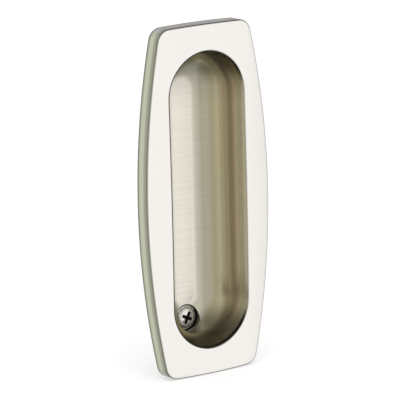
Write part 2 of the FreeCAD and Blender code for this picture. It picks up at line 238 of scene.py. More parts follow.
def push(bm, edges, move):
    """Extrude a run of edges, move each new vertex by a rule and give the new run."""
    made = bmesh.ops.extrude_edge_only(bm, edges=edges)["geom"]
    fresh = {item for item in made if isinstance(item, bmesh.types.BMVert)}
    for vertex in fresh:
        vertex.co = move(vertex)
    made_edges = [item for item in made if isinstance(item, bmesh.types.BMEdge)]
    return [edge for edge in made_edges if fresh.issuperset(edge.verts)]


def draw_profile(bm, points):
    """Draw a run of edges through points by extruding one vertex along them."""
    vertex = bmesh.ops.create_vert(bm, co=points[0])["vert"][0]
    for point in points[1:]:
        made = bmesh.ops.extrude_vert_indiv(bm, verts=[vertex])
        vertex = made["verts"][0]
        vertex.co = point


def turn_profile(bm, points, steps):
    """Spin a profile, given as pairs of radius and depth, once round the Y axis."""
    draw_profile(bm, [Vector((radius, depth, 0)) for radius, depth in points])
    bmesh.ops.spin(
        bm, geom=bm.verts[:] + bm.edges[:], cent=(0, 0, 0), axis=(0, 1, 0), dvec=(0, 0, 0),
        angle=math.tau, steps=steps, use_merge=True, use_duplicate=False,
    )
    bmesh.ops.remove_doubles(bm, verts=bm.verts[:], dist=MERGE)
    bmesh.ops.recalc_face_normals(bm, faces=bm.faces[:])


def to_object(context, bm, name):
    """Turn a bmesh into an object of the scene."""
    mesh = bpy.data.meshes.new(name)
    bm.to_mesh(mesh)
    bm.free()
    made = bpy.data.objects.new(name, mesh)
    context.scene.collection.objects.link(made)
    return made


def cut_away(context, body, cutters):
    """Take the cutters' shapes out of a body, then remove the cutters."""
    for cutter in cutters:
        modifier = body.modifiers.new(cutter.name, "BOOLEAN")
        modifier.object = cutter
        modifier.operation = "DIFFERENCE"
        modifier.solver = "EXACT"
    context.view_layer.update()
    shape = bpy.data.meshes.new_from_object(body.evaluated_get(context.evaluated_depsgraph_get()))
    body.modifiers.clear()
    old = body.data
    body.data = shape
    shape.name = body.name
    bpy.data.meshes.remove(old)
    for cutter in cutters:
        mesh = cutter.data
        bpy.data.objects.remove(cutter)
        bpy.data.meshes.remove(mesh)


def finish_piece(piece, material, node, sharp):
    """Shade a piece smooth between its sharp edges, with its finish and the node it stands for."""
    piece.data.shade_smooth()
    piece.data.set_sharp_from_angle(angle=sharp)
    piece.data.materials.clear()
    piece.data.materials.append(material)
    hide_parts(node)
    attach(piece, "root")


# The casting.


def crown_depth(s, x, z):
    """Depth of the crowned face at a place on it."""
    half_width = s.width / 2
    half_height = s.height / 2
    cross = (half_width**2 + s.cross_crown**2) / (2 * s.cross_crown)
    along = (half_height**2 + s.long_crown**2) / (2 * s.long_crown)
    section = cross - s.depth - math.sqrt(cross**2 - x**2)
    axis = along - s.depth
    return axis - math.sqrt((axis - section) ** 2 - z**2)


def quarter_outline(bm, s, place, heading):
    """Spin a quarter of the barrel outline: half a side, a corner and half an end."""
    half_width = s.width / 2
    half_height = s.height / 2
    half_end = s.end_width / 2
    rise = half_height - s.end_bow
    bow = half_width - half_end
    side = (rise**2 + bow**2) / (2 * bow)
    end = (half_end**2 + s.end_bow**2) / (2 * s.end_bow)
    side_centre = Vector((half_width - side, 0, 0))
    end_centre = Vector((0, 0, half_height - end))
    corner_centre = meeting(side_centre, side - s.corner_radius, end_centre, end - s.corner_radius)
    to_corner = corner_centre - side_centre
    from_side = math.atan2(to_corner.z, to_corner.x)
    to_corner = corner_centre - end_centre
    from_end = math.atan2(to_corner.z, to_corner.x)

    vertex = bmesh.ops.create_vert(bm, co=(half_width, 0, 0))["vert"][0]
    vertex[heading] = (1, 0, 0)
    runs = (
        (side_centre, from_side, s.side_steps),
        (corner_centre, from_end - from_side, s.corner_steps),
        (end_centre, math.pi / 2 - from_end, s.end_steps),
    )
    for centre, angle, steps in runs:
        known = set(bm.verts)
        last = bmesh.ops.spin(
            bm, geom=[vertex], cent=centre, axis=(0, -1, 0), dvec=(0, 0, 0),
            angle=angle, steps=steps, use_merge=False, use_duplicate=False,
        )["geom_last"]
        for made in set(bm.verts) - known:
            made[heading] = (made.co - centre).normalized()
        vertex = next(item for item in last if isinstance(item, bmesh.types.BMVert))
    vertex.co.x = 0
    for made in bm.verts:
        made[place] = made.co


def meeting(first, first_reach, second, second_reach):
    """The point at right of two centres, at one distance from each."""
    between = second - first
    span = between.length
    along = (first_reach**2 - second_reach**2 + span**2) / (2 * span)
    aside = math.sqrt(first_reach**2 - along**2)
    heading = between.normalized()
    left = Vector((-heading.z, 0, heading.x))
    options = [first + heading * along + left * aside, first + heading * along - left * aside]
    return max(options, key=lambda point: point.z + point.x)


def casting_sheets(bm, s):
    """Push the outline in rings over the face, down the cup, and round the back to the shell."""
    place, heading, mark = new_layers(bm)
    quarter_outline(bm, s, place, heading)
    reach = (s.height - s.cup_width) / 2 - s.end_border

    def inset(vertex, distance, depth):
        spot = vertex[place] - vertex[heading] * distance
        return Vector((spot.x, depth, spot.z))

    def round_cup(vertex, radius, depth):
        foot = Vector((0, 0, min(vertex[place].z, reach)))
        spot = foot + (vertex[place] - foot).normalized() * radius
        return Vector((spot.x, depth, spot.z))

    def between(vertex, distance, radius, share, depth=None):
        outer = inset(vertex, distance, 0)
        spot = outer.lerp(round_cup(vertex, radius, 0), share)
        if depth is None:
            depth = crown_depth(s, spot.x, spot.z)
        return Vector((spot.x, depth, spot.z))

    def marked(edges, kind):
        for edge in edges:
            edge[mark] = kind
        return edges

    back = marked(bm.edges[:], BACK_EDGE)

    # The side, the crowned face and the cup.
    run = marked(push(bm, back, lambda v: inset(v, 0, -s.relief_depth * 0.5)), 0)
    run = push(bm, run, lambda v: inset(v, 0, -s.relief_depth))
    run = push(bm, run, lambda v: inset(v, 0, crown_depth(s, v[place].x, v[place].z)))
    run = marked(run, FACE_EDGE)
    radius = s.cup_width / 2
    first_face = 2.5 * s.edge_round
    for share in (0.0, 0.12, 0.24, 0.36, 0.48, 0.6, 0.72, 0.84, 0.93):
        run = marked(push(bm, run, lambda v: between(v, first_face, radius, share)), 0)
    run = marked(push(bm, run, lambda v: between(v, 0, radius, 1)), CUP_RIM)
    floor = s.cup_depth - s.depth
    wall_end = floor - s.floor_radius
    wall_top = -s.depth + s.cross_crown + 2 * s.rim_round
    for share in (0.25, 0.6, 1.0):
        depth = wall_top + (wall_end - wall_top) * share
        run = marked(push(bm, run, lambda v: round_cup(v, radius, depth)), 0)
    for step in range(1, s.fillet_steps + 1):
        angle = math.pi / 2 * step / s.fillet_steps
        inner = radius - s.floor_radius * (1 - math.cos(angle))
        depth = wall_end + s.floor_radius * math.sin(angle)
        run = push(bm, run, lambda v: round_cup(v, inner, depth))
    for share in (0.5, 0.0):
        run = push(bm, run, lambda v: round_cup(v, inner * share, floor))

    # The seat, the relief and the outside of the cup.
    run = marked(push(bm, back, lambda v: inset(v, s.seat_width, 0)), 0)
    run = push(bm, run, lambda v: inset(v, s.seat_width, -s.relief_depth * 0.5))
    run = marked(push(bm, run, lambda v: inset(v, s.seat_width, -s.relief_depth)), RELIEF_FLOOR)
    shell = radius + s.cup_wall
    for share in (0.4, 0.6, 0.8, 1.0):
        run = push(bm, run, lambda v: between(v, s.seat_width, shell, share, -s.relief_depth))
        run = marked(run, 0)
    back_face = floor + s.cup_wall
    shell_end = back_face - s.back_radius
    for share in (0.5, 1.0):
        depth = -s.relief_depth + (shell_end + s.relief_depth) * share
        run = push(bm, run, lambda v: round_cup(v, shell, depth))
    half_steps = s.fillet_steps // 2
    for step in range(1, half_steps + 1):
        angle = math.pi / 2 * step / half_steps
        outer = shell - s.back_radius * (1 - math.cos(angle))
        depth = shell_end + s.back_radius * math.sin(angle)
        run = push(bm, run, lambda v: round_cup(v, outer, depth))
    for share in (0.5, 0.0):
        run = push(bm, run, lambda v: round_cup(v, outer * share, back_face))
    return mark


def build_casting(context, s, screw):
    """Mirror a quarter of the casting twice, round its long edges and cut the screw's seat."""
    bm = bmesh.new()
    mark = casting_sheets(bm, s)
    bmesh.ops.remove_doubles(bm, verts=bm.verts[:], dist=MERGE)
    for axis in ("X", "Z"):
        bmesh.ops.mirror(
            bm, geom=bm.verts[:] + bm.edges[:] + bm.faces[:], matrix=Matrix.Identity(4),
            merge_dist=MERGE, axis=axis,
        )
    bmesh.ops.remove_doubles(bm, verts=bm.verts[:], dist=MERGE)
    bmesh.ops.dissolve_degenerate(bm, edges=bm.edges[:], dist=1e-8)
    bmesh.ops.recalc_face_normals(bm, faces=bm.faces[:])
    rounds = (
        (BACK_EDGE, s.back_break, 2),
        (FACE_EDGE, s.edge_round, 8),
        (CUP_RIM, s.rim_round, 5),
        (RELIEF_FLOOR, s.relief_round, 5),
    )
    for kind, offset, segments in rounds:
        bmesh.ops.bevel(
            bm, geom=[edge for edge in bm.edges if edge[mark] == kind], offset=offset,
            offset_type="OFFSET", affect="EDGES", segments=segments, profile=0.5, material=-1,
            clamp_overlap=False,
        )
    bmesh.ops.recalc_face_normals(bm, faces=bm.faces[:])
    casting = to_object(context, bm, "cast_plate")
    cut_away(context, casting, [seat_cutter(context, s, screw)])
    return casting


def screw_place(s, screw):
    """Where the screw's axis meets its seat."""
    drop = s.height / 2 - s.end_border - screw.inset
    return Vector((0, s.cup_depth - s.depth + screw.seat_sink, -drop))


def seat_cutter(context, s, screw):
    """The turned shape that a spot face, a countersink and a screw hole take out."""
    head = screw.head / 2
    hole = screw.shank / 2 + screw.clearance
    cone = (head - hole) / math.tan(screw.head_angle / 2)
    ring = head + screw.seat_clearance
    through = 2 * s.cup_wall
    front = -(s.cup_depth - s.depth)
    bm = bmesh.new()
    profile = [
        (0, through), (hole, through), (hole, cone), (head, 0),
        (ring, 0), (ring, front), (0, front),
    ]
    turn_profile(bm, profile, steps=96)
    bmesh.ops.translate(bm, verts=bm.verts[:], vec=screw_place(s, screw))
    return to_object(context, bm, "seat_cutter")


# The screw.


def screw_blank(context, screw):
    """Turn the screw's head, cone, plain shank and threaded core."""
    head = screw.head / 2
    shank = screw.shank / 2
    core = screw.core / 2
    cone = (head - shank) / math.tan(screw.head_angle / 2)
    dome_steps = 24
    run_out = 0.0006
    points = []
    for step in range(dome_steps + 1):
        radius = head * math.sin(math.pi / 2 * step / dome_steps)
        points.append((radius, screw.crown * ((radius / head) ** screw.flatness - 1)))
    points += [
        (shank, cone),
        (shank, screw.plain - run_out),
        (core, screw.plain),
        (core, screw.length - screw.point),
        (0, screw.length),
    ]
    bm = bmesh.new()
    turn_profile(bm, points, steps=72)
    return to_object(context, bm, "oval_screw")


def recess_cutter(context, screw):
    """A tapered cross, grown sideways from a small square prism, with a cone at its bottom."""
    wing = screw.recess_wing
    span = screw.recess_span
    wing_taper = 0.7
    span_taper = 0.36
    proud = 0.0001
    top = -screw.crown - proud
    bottom = screw.recess_depth - screw.crown
    bm = bmesh.new()
    size = Matrix.Diagonal((wing, bottom - top, wing, 1))
    middle = Matrix.Translation((0, (bottom + top) / 2, 0))
    bmesh.ops.create_cube(bm, size=1, matrix=middle @ size)
    sides = [face for face in bm.faces if abs(face.normal.y) < 0.5]
    for side in sides:
        heading = side.normal.copy()
        made = bmesh.ops.extrude_discrete_faces(bm, faces=[side])["faces"][0]
        bmesh.ops.translate(bm, verts=made.verts[:], vec=heading * (span - wing) / 2)
    low = [vertex for vertex in bm.verts if vertex.co.y > middle.translation.y]
    for vertex in low:
        vertex.co.x *= span_taper if abs(vertex.co.x) > wing else wing_taper
        vertex.co.z *= span_taper if abs(vertex.co.z) > wing else wing_taper
    bmesh.ops.remove_doubles(bm, verts=bm.verts[:], dist=1e-6)
    bmesh.ops.recalc_face_normals(bm, faces=bm.faces[:])
    return to_object(context, bm, "recess_cutter")


def add_thread(piece, screw):
    """Wind a ridge round the core, tapered with the point, and join it to the screw's mesh."""
    steps_a_turn = 28
    root = 0.93 * screw.core / 2
    crest = screw.shank / 2
    half_base = 0.34 * screw.pitch
    fade = 0.6 * screw.pitch
    start = screw.plain + half_base
    stop = screw.length - 0.0012
    turns = (stop - start) / screw.pitch
    steps = round(steps_a_turn * turns)
    ridge = bmesh.new()
    draw_profile(ridge, [
        Vector((root, start - half_base, 0)),
        Vector((crest, start, 0)),
        Vector((root, start + half_base, 0)),
    ])
    ridge.verts.ensure_lookup_table()
    bmesh.ops.contextual_create(ridge, geom=[ridge.verts[0], ridge.verts[2]])
    bmesh.ops.spin(
        ridge, geom=ridge.verts[:] + ridge.edges[:], cent=(0, 0, 0), axis=(0, 1, 0),
        dvec=(0, screw.pitch * turns / steps, 0), angle=math.tau * turns, steps=steps,
        use_merge=False, use_duplicate=False,
    )
    taper_from = screw.length - screw.point
    for vertex in ridge.verts:
        past = (vertex.co.y - taper_from) / screw.point
        fade_in = min(1.0, (vertex.co.y - (start - half_base)) / fade)
        radius = math.hypot(vertex.co.x, vertex.co.z)
        wanted = root + (radius - root) * fade_in
        if past > 0:
            wanted *= 1 - past
        vertex.co.x *= wanted / radius
        vertex.co.z *= wanted / radius
    ends = [edge for edge in ridge.edges if edge.is_boundary]
    bmesh.ops.holes_fill(ridge, edges=ends, sides=3)
    bmesh.ops.recalc_face_normals(ridge, faces=ridge.faces[:])
    extra = bpy.data.meshes.new("thread")
    ridge.to_mesh(extra)
    ridge.free()
    whole = bmesh.new()
    whole.from_mesh(piece.data)
    whole.from_mesh(extra)
    whole.to_mesh(piece.data)
    whole.free()
    bpy.data.meshes.remove(extra)


def build_screw(context, s, screw):
    """Model the screw and set it in its seat."""
    piece = screw_blank(context, screw)
    cut_away(context, piece, [recess_cutter(context, screw)])
    add_thread(piece, screw)
    piece.data.transform(Matrix.Rotation(-screw.turn, 4, "Y"))
    piece.data.transform(Matrix.Translation(screw_place(s, screw)))
    return piece


# The finishes.


def blank_material(name):
    """A new material with nothing in its node tree."""
    material = bpy.data.materials.new(name)
    material.use_nodes = True
    material.node_tree.nodes.clear()
    return material, material.node_tree


def node(tree, kind, place, inputs=None, **settings):
    """Add a shader node at a place. An input takes a number, a colour or another's socket."""
    made = tree.nodes.new(kind)
    made.location = place
    for key, value in settings.items():
        setattr(made, key, value)
    for key, value in (inputs or {}).items():
        if isinstance(value, bpy.types.NodeSocket):
            tree.links.new(value, made.inputs[key])
        else:
            made.inputs[key].default_value = value
    return made


def ranged(tree, source, span, values, place, smooth=False):
    """Map a span of a value on to another, straight or eased at both ends."""
    inputs = {
        "Value": source, "From Min": span[0], "From Max": span[1],
        "To Min": values[0], "To Max": values[1],
    }
    ease = "SMOOTHSTEP" if smooth else "LINEAR"
    made = node(tree, "ShaderNodeMapRange", place, inputs, interpolation_type=ease)
    return made.outputs["Result"]


def spread(tree, source, low, high, place):
    """Map a value from 0 to 1 on to a small range."""
    return ranged(tree, source, (0, 1), (low, high), place)


def worked(tree, operation, place, *values):
    """A math node on one or two values, each a socket or a number."""
    made = node(tree, "ShaderNodeMath", place, dict(enumerate(values)), operation=operation)
    return made.outputs["Value"]


def product(tree, place, first, *others):
    """Values multiplied in turn, in a row of math nodes."""
    for step, other in enumerate(others):
        first = worked(tree, "MULTIPLY", (place[0] + 180 * step, place[1]), first, other)
    return first


def distance(tree, place, across, along):
    """The length of two sides at a right angle."""
    first = worked(tree, "POWER", place, across, 2)
    second = worked(tree, "POWER", (place[0], place[1] - 160), along, 2)
    both = worked(tree, "ADD", (place[0] + 180, place[1] - 80), first, second)
    return worked(tree, "SQRT", (place[0] + 360, place[1] - 80), both)


def mixed(tree, place, factor, first, second, data_type="RGBA", blend_type="MIX"):
    """A mix of two colours or two numbers."""
    made = node(
        tree, "ShaderNodeMix", place, {"Factor": factor, "A": first, "B": second},
        data_type=data_type, blend_type=blend_type,
    )
    return made.outputs["Result"]


def stepped(tree, source, span, place, *runs):
    """A colour ramp over a span. Each run is a colour, then stops of a value and a level."""
    low, high = span
    stops = [(value, level, shade) for shade, *steps in runs for value, level in steps]
    share = ranged(tree, source, span, (0, 1), place)
    ramp = node(tree, "ShaderNodeValToRGB", (place[0] + 180, place[1]), {"Fac": share})
    elements = ramp.color_ramp.elements
    while len(elements) < len(stops):
        elements.new(0.5)
    for element, (value, _, _) in zip(elements, stops):
        element.position = (value - low) / (high - low)
    for element, (_, level, shade) in zip(elements, stops):
        element.color = (*(level * part for part in shade), 1)
    return ramp.outputs["Color"]


def grain_group():
    """Fine satin grain and broad soft marks, for any plated metal."""
    group = bpy.data.node_groups.get("satin_grain")
    if group:
        return group
    group = bpy.data.node_groups.new("satin_grain", "ShaderNodeTree")
    face = group.interface
    face.new_socket("Vector", in_out="INPUT", socket_type="NodeSocketVector")
    for name, default in (("Grain Scale", 1100.0), ("Across", 0.05), ("Mark Scale", 60.0)):
        socket = face.new_socket(name, in_out="INPUT", socket_type="NodeSocketFloat")
        socket.default_value = default
    for name in ("Grain", "Marks"):
        face.new_socket(name, in_out="OUTPUT", socket_type="NodeSocketFloat")
    given = node(group, "NodeGroupInput", (-700, 0)).outputs
    squeeze = node(
        group, "ShaderNodeCombineXYZ", (-480, -120),
        {"X": given["Across"], "Y": given["Across"], "Z": 1},
    )
    lines = node(
        group, "ShaderNodeVectorMath", (-280, 60),
        {0: given["Vector"], 1: squeeze.outputs["Vector"]}, operation="MULTIPLY",
    )
    fine = node(group, "ShaderNodeTexNoise", (-80, 120), {
        "Vector": lines.outputs["Vector"], "Scale": given["Grain Scale"],
        "Detail": 3, "Roughness": 0.6,
    }, noise_dimensions="3D")
    broad = node(group, "ShaderNodeTexNoise", (-80, -160), {
        "Vector": given["Vector"], "Scale": given["Mark Scale"],
        "Detail": 4, "Roughness": 0.55,
    }, noise_dimensions="3D")
    node(
        group, "NodeGroupOutput", (500, 0),
        {"Grain": fine.outputs["Fac"], "Marks": broad.outputs["Fac"]},
    )
    return group


def cup_masks(tree, axes, s):
    """Where a spot lies, from 0 to 1: in the cup, along its rim for the painted dark line, and far
    into its round ends.
    """
    radius = s.cup_width / 2
    face = -s.depth + s.cross_crown / 2
    opening = (radius + 0.0001, radius + s.rim_round)
    face_span = (face - 0.0006, face + 0.0006)
    line_start = (radius, radius + 0.00012)
    line_end = (radius + 0.0005, radius + 0.0008)
    fading_side = (-0.004, 0.014)
    round_end = (0.002, 0.6 * radius)

    run = worked(tree, "ABSOLUTE", (-1100, -500), axes["Z"])
    straight = (s.height - s.cup_width) / 2 - s.end_border
    past = worked(tree, "SUBTRACT", (-920, -500), run, straight)
    past = worked(tree, "MAXIMUM", (-740, -500), past, 0)
    reach = distance(tree, (-560, -500), axes["X"], past)
    within = ranged(tree, reach, opening, (1, 0), (0, -500), smooth=True)
    below = ranged(tree, axes["Y"], face_span, (0, 1), (0, -760), smooth=True)
    inside = product(tree, (200, -600), within, below)
    starts = ranged(tree, reach, line_start, (0, 1), (0, -1000), smooth=True)
    stops = ranged(tree, reach, line_end, (1, 0), (0, -1240), smooth=True)
    # The rim's painted dark line fades to a tenth on the cup's right side.
    faint = ranged(tree, axes["X"], fading_side, (1, 0.1), (0, -1480), smooth=True)
    rim = product(tree, (200, -1200), starts, stops, faint)
    ends = ranged(tree, past, round_end, (0, 1), (0, -1720), smooth=True)
    return inside, rim, ends


def gap_shade_mask(tree, axes, s, screw):
    """Where the painted shade in the gap round the screw's head goes: 1 where the screw's seat
    meets the wall round it, less up that wall and 0 elsewhere.
    """
    middle = screw_place(s, screw)
    ring = screw.head / 2 + screw.seat_clearance
    outside = (ring + 0.00005, ring + 0.0003)
    wall = (ring - 0.0006, ring - 0.0003)
    upper = (middle.y - 0.0018, middle.y - 0.0005)
    lower = (middle.y + 0.0005, middle.y + 0.001)

    height = worked(tree, "SUBTRACT", (-1100, -2100), axes["Z"], middle.z)
    away = distance(tree, (-920, -2100), axes["X"], height)
    return product(
        tree, (-180, -2200),
        ranged(tree, away, outside, (1, 0), (-380, -2100)),
        ranged(tree, away, wall, (0, 1), (-380, -2340)),
        ranged(tree, axes["Y"], upper, (0.35, 1), (-380, -2580)),
        ranged(tree, axes["Y"], lower, (1, 0), (-380, -2820)),
    )


def cup_painted_reflections(tree, axes, look, s):
    """Painted reflection bands down the cup by depth: pale at the lip, brown on the wall and olive
    on the curve, over the nickel of the floor.
    """
    return stepped(
        tree, axes["Y"], (-s.depth, s.cup_depth - s.depth), (200, -2100),
        (look.lip_reflection, (-s.depth, 1.0), (-0.0045, 1.12), (-0.0030, 1.22)),
        (
            look.wall_reflection,
            (-0.0014, 1.33), (0.0004, 1.05), (0.0020, 0.78), (0.0030, 0.84), (0.0038, 1.15),
        ),
        (look.olive_reflection, (0.0046, 1.15), (0.0065, 0.98), (0.0077, 0.82)),
        (
            look.curve_reflection,
            (0.0090, 0.94), (0.0096, 0.94), (0.0101, 0.84), (0.0106, 0.72), (0.01082, 0.78),
        ),
        (look.cup_nickel, (0.010995, 1.0)),
    )


def cup_painted_shade(tree, axes, ends, seat, look):
    """Painted shade in the cup: darker at its ends, most of all on their lips, towards its top end
    and in the screw's seat.
    """
    # Heights and spans over which the painted shade comes in at the ends, their lips and the top
    # end.
    wall, lip, top = (0.0082, -0.001), (-0.0054, -0.0062), (0.033, 0.05)
    lip_shade, top_shade = 0.10, 0.78
    on_wall = ranged(tree, axes["Y"], wall, (0, 1), (400, -1340), smooth=True)
    on_lip = ranged(tree, axes["Y"], lip, (0, 1), (400, -1580), smooth=True)
    wall_end = product(tree, (600, -1340), ends, on_wall)
    lip_end = product(tree, (600, -1580), ends, on_lip)
    return product(
        tree, (980, -1500),
        spread(tree, wall_end, 1, look.end_shade, (780, -1340)),
        spread(tree, lip_end, 1, lip_shade, (780, -1580)),
        spread(tree, seat, 1, look.seat_shade, (780, -1820)),
        ranged(tree, axes["Z"], top, (1, top_shade), (780, -2060), smooth=True),
    )


def crown_fall(tree, axis, crown, size, place):
    """How far the crowned face has fallen at a distance from its middle."""
    square = product(tree, place, axis, axis)
    return product(tree, (place[0] + 180, place[1]), square, crown / (size / 2) ** 2)


def side_painted_shade(tree, axes, look, s):
    """Painted shade on the sides: dark lines next to the crowned face and next to the door."""
    # How dark the painted lines get.
    dull, plain = look.edge_shade, (1, 1, 1)
    wide = crown_fall(tree, axes["X"], s.cross_crown, s.width, (-500, 1100))
    tall = crown_fall(tree, axes["Z"], s.long_crown, s.height, (-500, 900))
    crown = worked(tree, "ADD", (-140, 1000), wide, tall)
    depth = worked(tree, "ADD", (-140, 800), axes["Y"], s.depth)
    below = worked(tree, "SUBTRACT", (40, 1000), depth, crown)
    front = stepped(
        tree, below, (-0.001, 0.005), (220, 1000),
        (
            plain,
            (-0.001, 1.0), (0.00002, 1.0), (0.00014, 0.9 * dull), (0.0018, dull), (0.0032, 1.0),
        ),
    )
    back = stepped(
        tree, axes["Y"], (-0.003, 0), (220, 700),
        (
            plain,
            (-0.003, 1.0), (-0.0018, 1.0), (-0.001, dull), (-0.0003, 0.5 * dull), (-0.00005, 1.0),
        ),
    )
    return product(tree, (620, 860), front, back)


def satin_nickel(look, s, screw):
    """Satin nickel: smoother on the face and rougher down in the cup, with painted reflection
    bands and painted shade in the cup and painted dark lines along its edges.
    """
    material, tree = blank_material("satin_nickel")
    where = node(tree, "ShaderNodeTexCoord", (-1500, 0)).outputs["Object"]
    axes = node(tree, "ShaderNodeSeparateXYZ", (-1300, -300), {"Vector": where}).outputs
    grain = node(
        tree, "ShaderNodeGroup", (-600, 200), {"Vector": where}, node_tree=grain_group()
    ).outputs
    fine, marks = grain["Grain"], grain["Marks"]
    inside, rim, ends = cup_masks(tree, axes, s)
    seat = gap_shade_mask(tree, axes, s, screw)

    # The colour: worn streaks in the cup and a nearly clean face, times painted shade in the cup
    # and painted dark lines along the edges, over painted reflection bands down the cup.
    worn = product(
        tree, (-100, 340),
        spread(tree, fine, 0.88, 1.03, (-300, 420)), spread(tree, marks, 0.96, 1.02, (-300, 240)),
    )
    down_shade_and_grain = product(tree, (1700, -1500), cup_painted_shade(tree, axes, ends, seat, look), worn)
    clean = spread(tree, marks, 0.975, 1.0, (-300, 600))
    up_shade_and_marks = product(tree, (760, 760), clean, side_painted_shade(tree, axes, look, s))
    both = mixed(tree, (1900, -600), inside, up_shade_and_marks, down_shade_and_grain, data_type="FLOAT")
    # Painted dark line along the cup's rim.
    whole = product(tree, (2080, -600), both, spread(tree, rim, 1, 0.06, (1900, -900)))
    # Nickel on the face, and painted reflection bands down in the cup.
    tint = mixed(tree, (1900, 0), inside, (*look.nickel, 1), cup_painted_reflections(tree, axes, look, s))
    colour = mixed(tree, (2260, 50), 1, tint, whole, blend_type="MULTIPLY")

    # The surface: fine satin brushing across the pull, coarser in the cup.
    around = node(tree, "ShaderNodeTangent", (2260, -760), direction_type="RADIAL", axis="Z")
    smooth = spread(tree, inside, look.face_roughness, look.cup_roughness, (400, -250))
    uneven = spread(tree, marks, -0.03, 0.03, (400, 260))
    depth = spread(tree, inside, 0.03, 0.12, (700, -650))
    bump = node(tree, "ShaderNodeBump", (2260, -480), {
        "Strength": depth, "Distance": 0.00003, "Height": fine,
    })
    shader = node(tree, "ShaderNodeBsdfPrincipled", (2500, 0), {
        "Base Color": colour,
        "Metallic": 1,
        "Roughness": worked(tree, "ADD", (760, 200), smooth, uneven),
        "Normal": bump.outputs["Normal"],
        "Anisotropic": look.brushing,
        "Anisotropic Rotation": 0.25,
        "Tangent": around.outputs["Tangent"],
    })
    node(tree, "ShaderNodeOutputMaterial", (2800, 0), {"Surface": shader.outputs["BSDF"]})
    return material


def in_recess(tree, axes, screw):
    """1 in the screw's cross recess, which is where its metal lies below the dome."""
    edge = screw.recess_span / screw.head
    floor = screw.recess_depth - screw.crown
    below_dome = (0.00004, 0.0003)
    arms = (edge + 0.04, edge + 0.1)
    bottom = (floor + 0.0002, floor + 0.0006)

    away = distance(tree, (-900, -200), axes["X"], axes["Z"])
    away = worked(tree, "DIVIDE", (-360, -280), away, screw.head / 2)
    fall = worked(tree, "POWER", (-180, -280), away, screw.flatness)
    left = worked(tree, "SUBTRACT", (-360, -460), 1, fall)
    dome = product(tree, (-180, -460), left, screw.crown)
    sunk = worked(tree, "ADD", (0, -360), axes["Y"], dome)
    return product(
        tree, (360, -500),
        ranged(tree, sunk, below_dome, (0, 1), (180, -360), smooth=True),
        ranged(tree, away, arms, (1, 0), (180, -640)),
        ranged(tree, axes["Y"], bottom, (1, 0), (180, -880)),
    )


def bright_nickel(look, s, screw):
    """Bright nickel on the screw, with light turning marks, and painted shade down in its cross
    recess.
    """
    material, tree = blank_material("bright_nickel")
    where = node(tree, "ShaderNodeTexCoord", (-1500, 0)).outputs["Object"]
    centre = node(tree, "ShaderNodeMapping", (-1300, -200), {
        "Vector": where, "Location": -screw_place(s, screw),
    }).outputs["Vector"]
    axes = node(tree, "ShaderNodeSeparateXYZ", (-1100, -300), {"Vector": centre}).outputs
    grain = node(
        tree, "ShaderNodeGroup", (-600, 200),
        {"Vector": where, "Grain Scale": 1800, "Across": 1, "Mark Scale": 420},
        node_tree=grain_group(),
    ).outputs
    marks = grain["Marks"]

    deep = in_recess(tree, axes, screw)
    # Painted shade in the cross recess.
    tint = mixed(tree, (800, -150), deep, (*look.screw_nickel, 1), (*look.recess_shade, 1))
    turned = spread(tree, marks, 0.92, 1.0, (600, 400))
    colour = mixed(tree, (1000, 50), 1, tint, turned, blend_type="MULTIPLY")
    polish = spread(tree, marks, 0.08, 0.13, (600, 100))
    bare = spread(tree, deep, 0, 0.3, (800, -60))
    bump = node(tree, "ShaderNodeBump", (1000, -480), {
        "Strength": 0.08, "Distance": 0.00002, "Height": grain["Grain"],
    })
    shader = node(tree, "ShaderNodeBsdfPrincipled", (1200, 0), {
        "Base Color": colour,
        "Metallic": 0.75,
        "Roughness": worked(tree, "ADD", (1000, -100), polish, bare),
        "Normal": bump.outputs["Normal"],
    })
    node(tree, "ShaderNodeOutputMaterial", (1500, 0), {"Surface": shader.outputs["BSDF"]})
    return material


# The studio.


def seen_directly(tree, place):
    """1 for what the camera sees itself, in metal or through glass, and 0 for other light."""
    ray = node(tree, "ShaderNodeLightPath", place).outputs
    beside, further = (place[0] + 200, place[1]), (place[0] + 400, place[1])
    seen = worked(tree, "MAXIMUM", beside, ray["Is Camera Ray"], ray["Is Glossy Ray"])
    return worked(tree, "MAXIMUM", further, seen, ray["Is Transmission Ray"])


def build_world(context, studio):
    """A white background, and an even light from all sides."""
    world = bpy.data.worlds.new("studio_air")
    context.scene.world = world
    world.use_nodes = True
    tree = world.node_tree
    tree.nodes.clear()
    white = (*studio.white, 1)
    light = node(tree, "ShaderNodeBackground", (100, 100), {"Color": white, "Strength": 0.75})
    plain = node(tree, "ShaderNodeBackground", (100, -100), {"Color": white, "Strength": 1})
    mix = node(tree, "ShaderNodeMixShader", (400, 0), {
        "Fac": seen_directly(tree, (-500, 300)),
        1: light.outputs["Background"],
        2: plain.outputs["Background"],
    })
    node(tree, "ShaderNodeOutputWorld", (600, 0), {"Surface": mix.outputs["Shader"]})


def floor_material(studio):
    """A white floor that still takes the pull's soft shadow."""
    material, tree = blank_material("white_floor")
    grey = (*(0.5 * part for part in studio.white), 1)
    cloth = node(tree, "ShaderNodeBsdfDiffuse", (0, 200), {"Color": grey})
    strength = product(tree, (-200, 0), seen_directly(tree, (-800, 100)), 0.56)
    glow = node(tree, "ShaderNodeEmission", (0, 0), {
        "Color": (*studio.white, 1), "Strength": strength,
    })
    both = node(tree, "ShaderNodeAddShader", (300, 100), {
        0: cloth.outputs["BSDF"], 1: glow.outputs["Emission"],
    })
    node(tree, "ShaderNodeOutputMaterial", (600, 0), {"Surface": both.outputs["Shader"]})
    return material


